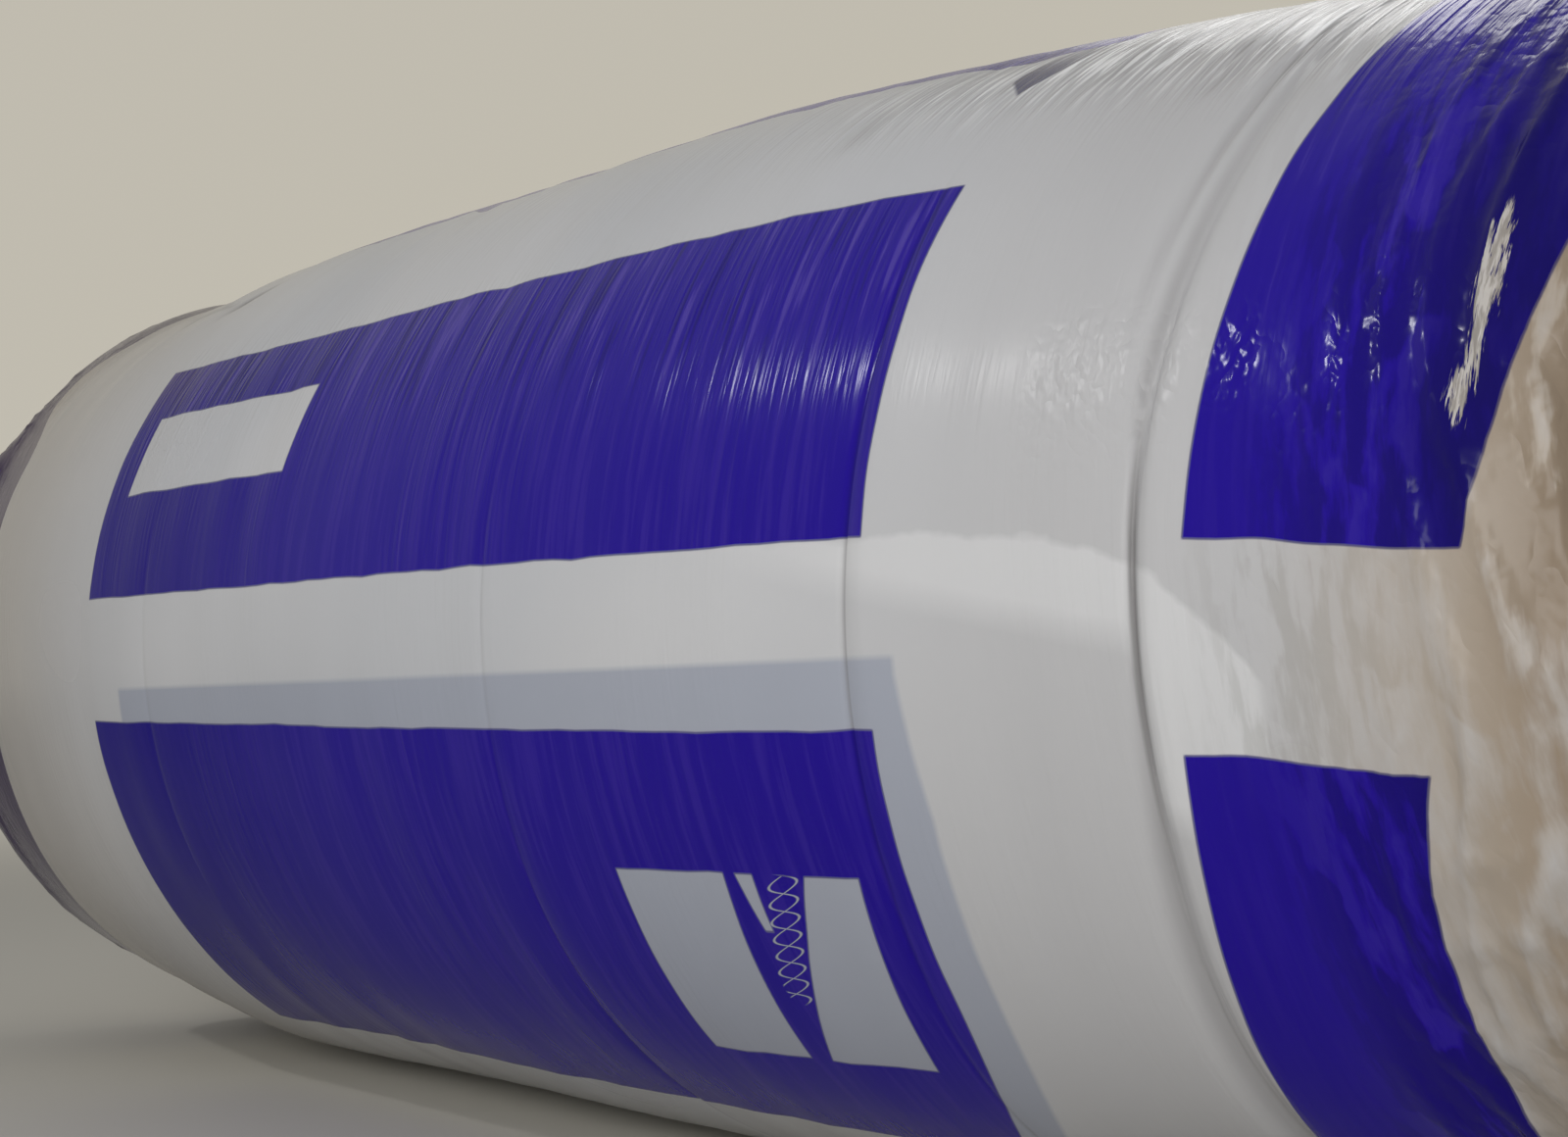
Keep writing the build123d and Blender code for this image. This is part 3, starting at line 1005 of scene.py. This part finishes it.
def loose_fibres(g, surface, density, length):
    """Bent tufts of fibre that stand out of the cut edge of the blanket, in the sleeve's mouth."""
    x, y, z = g.split(g.make("GeometryNodeInputPosition"))
    z = z - AXIS_Z
    at_cut = g.math("GREATER_THAN", abs(x), WOOL_HALF - 0.022)
    in_mouth = g.math("LESS_THAN", g.math("SQRT", y * y + z * z), MOUTH_RADIUS + 0.002)
    spots = g.make(
        "GeometryNodeDistributePointsOnFaces",
        {"distribute_method": "RANDOM"},
        {"Mesh": surface, "Selection": at_cut * in_mouth, "Density": density, "Seed": 5},
    )
    bow = {"Start": (-0.5, 0.0, -0.04), "Middle": (0.0, 0.30, 0.22), "End": (0.5, 0.0, 0.02)}
    tuft = g.make("GeometryNodeCurveQuadraticBezier", sockets={"Resolution": 4, **bow})
    ring = g.make(
        "GeometryNodeCurvePrimitiveCircle", {"mode": "RADIUS"}, {"Resolution": 3, "Radius": 0.020}
    )
    tuft = g.make("GeometryNodeCurveToMesh", sockets={0: tuft, 1: ring})
    turn = g.make(
        "FunctionNodeRandomValue",
        {"data_type": "FLOAT_VECTOR"},
        {0: (-0.5, -0.5, 0.0), 1: (0.5, 0.5, math.tau), "Seed": 6},
    )
    normal = Wire(g, spots.socket.node.outputs["Normal"])
    facing = g.make("FunctionNodeAlignEulerToVector", {"axis": "Z"}, {"Vector": normal})
    turned = g.make("FunctionNodeRotateEuler", {"space": "LOCAL"}, {0: facing, "Rotate By": turn})
    sizes = {2: 0.45, 3: 1.3, "Seed": 7}
    grown = g.make("FunctionNodeRandomValue", {"data_type": "FLOAT"}, sizes, 1) * length
    return g.make("GeometryNodeInstanceOnPoints", sockets={
        "Points": spots,
        "Instance": tuft,
        "Rotation": turned,
        "Scale": g.vector(grown, grown, grown),
    })


def wool_finish():
    material, g, shader = new_material("glass_wool")
    place = g.make("ShaderNodeTexCoord", out="Object")
    length, depth = g.carried("wound_length"), g.carried("blanket_depth")
    push = (g.noise(place, 60.0, 2.0) - 0.5) * 0.004
    layers = g.noise(g.vector(length * 0.35, (depth + push) * 6.0, 0.0), 150.0, 4.0, 0.7)
    strands = g.noise(g.vector(length * 1.1, (depth + push * 2) * 3.0, 0.0), 260.0, 3.0, 0.6)
    strands = 1 - abs(strands - 0.5) * 4
    fuzz = g.noise(place, 620.0, 5.0, 0.75)
    clumps = g.noise(place, 38.0, 3.0)
    tone = g.limit(layers * 0.38 + fuzz * 0.62 + clumps * 0.35 + strands * 0.10 - 0.20)
    stops = [(0.22, (0.19, 0.125, 0.062)), (0.5, (0.40, 0.285, 0.165)), (0.8, (0.62, 0.50, 0.34))]
    colour = g.make("ShaderNodeValToRGB", {"stops": stops}, {0: tone})
    g.feed(shader.inputs["Base Color"], colour)
    shader.inputs["Roughness"].default_value = 0.95
    shader.inputs["Specular IOR Level"].default_value = 0.15
    relief = layers * 0.55 + fuzz + strands * 0.30
    sockets = {"Strength": 1.0, "Distance": 0.003, "Height": relief}
    g.feed(shader.inputs["Normal"], g.make("ShaderNodeBump", sockets=sockets))
    return material


def make_blanket():
    material = wool_finish()
    blanket = link("wool_blanket", blanket_section())
    return settle(blanket, blanket_tree(material), material)


# Stage, lamps and camera
def seen_directly(g):
    """1 where the camera, a reflection or a view through something meets the surface,
    0 where it only gives light."""
    camera, glossy, glass = (
        g.make("ShaderNodeLightPath", out=f"Is {ray} Ray")
        for ray in ("Camera", "Glossy", "Transmission")
    )
    return g.limit(camera + glossy + glass)


def make_floor():
    mesh = bpy.data.meshes.new("floor")
    shape = bmesh.new()
    bmesh.ops.create_circle(shape, cap_ends=True, segments=96, radius=40.0)
    shape.to_mesh(mesh)
    shape.free()
    material, g, shader = new_material("floor_finish")
    shader.inputs["Base Color"].default_value = (*FLOOR, 1)
    shader.inputs["Roughness"].default_value = 0.9
    x, y, _ = g.split(g.make("ShaderNodeTexCoord", out="Object"))
    far_off = g.ramp(g.math("SQRT", x * x + y * y), 1.2, 5.0)
    horizon = g.make("ShaderNodeEmission", sockets={"Color": BACKDROP, "Strength": 1.0})
    sockets = {0: seen_directly(g) * far_off, 1: Wire(g, shader.outputs[0]), 2: horizon}
    blend = g.make("ShaderNodeMixShader", sockets=sockets)
    g.feed(material.node_tree.nodes["Material Output"].inputs["Surface"], blend)
    mesh.materials.append(material)
    link("floor", mesh)


def place_lamp(data, direction, place=(0, 0, 0)):
    """Puts a lamp in the scene, shining in a direction."""
    lamp = link(data.name, data)
    lamp.location = place
    lamp.rotation_mode = "QUATERNION"
    lamp.rotation_quaternion = direction.to_track_quat("-Z", "Y")


def area_light(name, place, target, size, power):
    data = bpy.data.lights.new(name, "AREA")
    data.shape = "RECTANGLE"
    data.size, data.size_y = size
    data.energy = power
    place_lamp(data, Vector(target) - Vector(place), place)


def sun_light(towards, strength, softness):
    """Even light from far away, coming from that direction.
    Softness is the size of its disc in degrees."""
    data = bpy.data.lights.new("daylight", "SUN")
    data.energy = strength
    data.angle = math.radians(softness)
    place_lamp(data, -Vector(towards))


def make_world():
    world = bpy.data.worlds.new("studio")
    world.use_nodes = True
    bpy.context.scene.world = world
    g = Graph(world.node_tree)
    background = world.node_tree.nodes["Background"]
    g.feed(background.inputs["Color"], g.mix(seen_directly(g), WORLD_LIGHT, BACKDROP))
    background.inputs["Strength"].default_value = 1.0


def make_camera():
    data = bpy.data.cameras.new("camera")
    data.lens = CAMERA_LENS
    data.clip_start = 0.01
    camera = link("camera", data)
    camera.location = CAMERA_PLACE
    camera.rotation_mode = "QUATERNION"
    camera.rotation_quaternion = Vector(CAMERA_LOOKS).to_track_quat("-Z", "Y")
    bpy.context.scene.camera = camera


make_camera()
make_world()
make_floor()
sun_light((0.60, -1.0, 0.22), 0.25, 55.0)
area_light("fill", (1.15, -1.75, 0.65), (0.25, 0, 0.25), (1.1, 0.8), 24.0)
area_light("sparkle", (-1.0, -1.55, 1.6), (0.4, 0, 0.3), (0.10, 0.10), 5.0)
area_light("window", (-0.50, 1.0, 1.75), (0.35, 0, 0.4), (0.5, 1.0), 3.2)
bpy.context.scene.view_settings.view_transform = "Standard"

film = make_film()
film.data.materials.append(film_finish())
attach(film, "root")
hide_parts("film_sleeve")

blanket = make_blanket()
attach(blanket, "root")
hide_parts("wool_roll")
